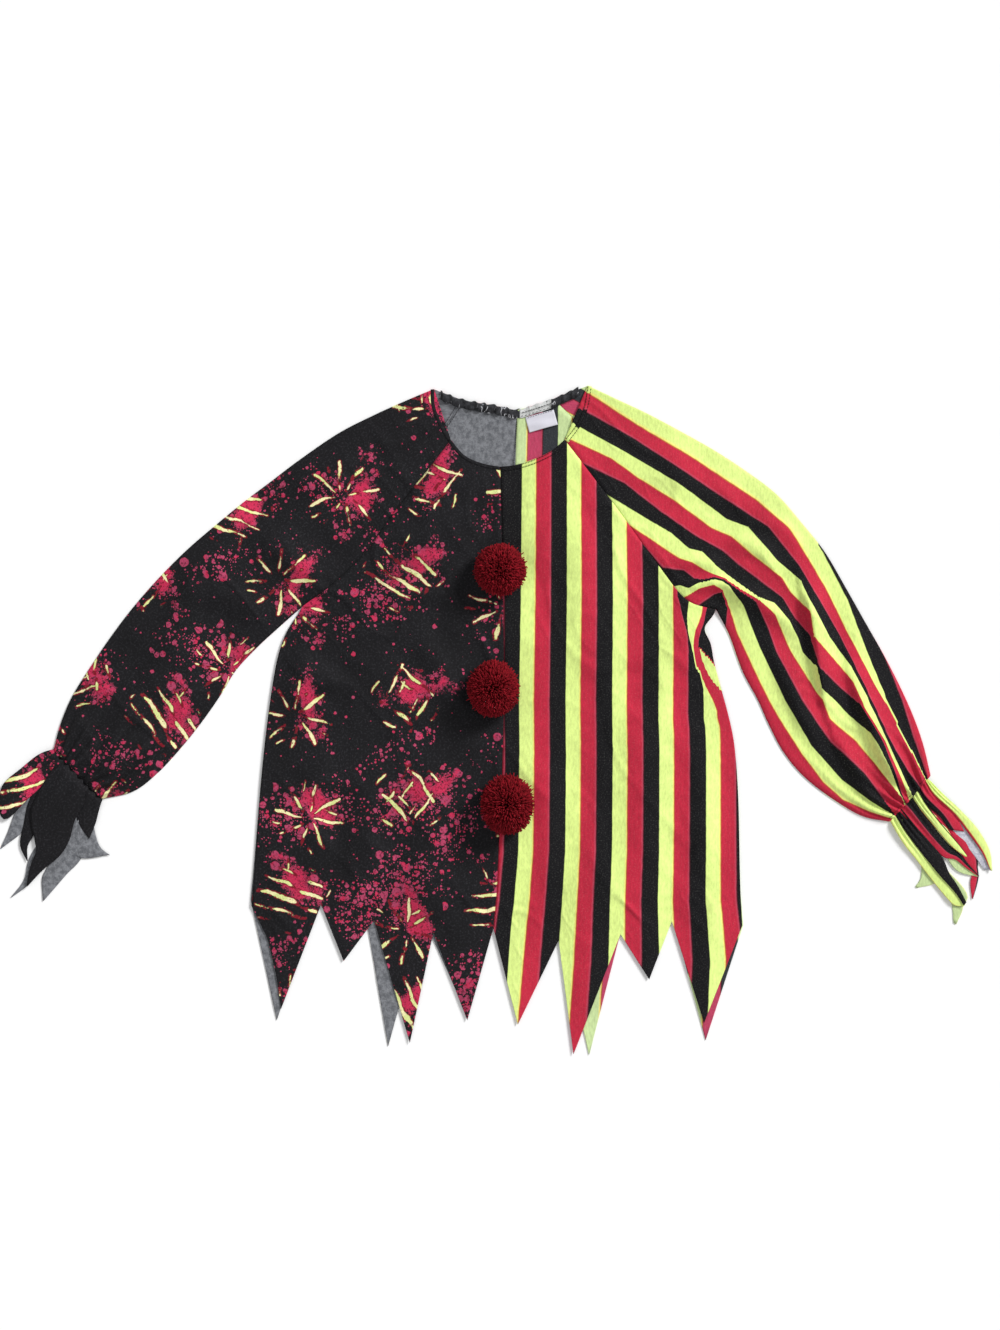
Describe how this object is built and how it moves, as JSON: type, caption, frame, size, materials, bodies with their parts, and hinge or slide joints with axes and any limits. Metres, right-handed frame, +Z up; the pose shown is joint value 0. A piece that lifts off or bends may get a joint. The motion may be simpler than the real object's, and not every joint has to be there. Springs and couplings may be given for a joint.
{
  "type": "clown costume top",
  "caption": "Two-tone clown costume top with raglan sleeves, gathered neck and wrists, ruffled cuffs, a jagged hem and yarn pompoms, laid flat with its front up.",
  "frame": {"origin": "middle of the garment's bounding box on the floor, at its underside", "axes": "+X towards the striped sleeve's cuff, +Y towards the neck, +Z up out of the garment's front"},
  "size_m": [1.1414, 0.7688, 0.048],
  "materials": {
    "printed_knit": "matte polyester knit, black with a crimson splatter print, grey wrong side",
    "striped_knit": "matte polyester knit, lime, red and black stripes, paler wrong side",
    "casing_knit": "matte, gathered on elastic",
    "label_tape": "smooth white satin tape, bare",
    "pompom_yarn": "matte dark red acrylic yarn"
  },
  "bodies": {
    "root": {"back_printed": "printed_knit", "back_striped": "striped_knit", "front_printed": "printed_knit", "front_striped": "striped_knit", "sleeve_printed": "printed_knit", "sleeve_striped": "striped_knit", "neck_casing": "casing_knit", "neck_label": "label_tape", "pompom_upper": "pompom_yarn", "pompom_middle": "pompom_yarn", "pompom_lower": "pompom_yarn"}
  },
  "joints": []
}
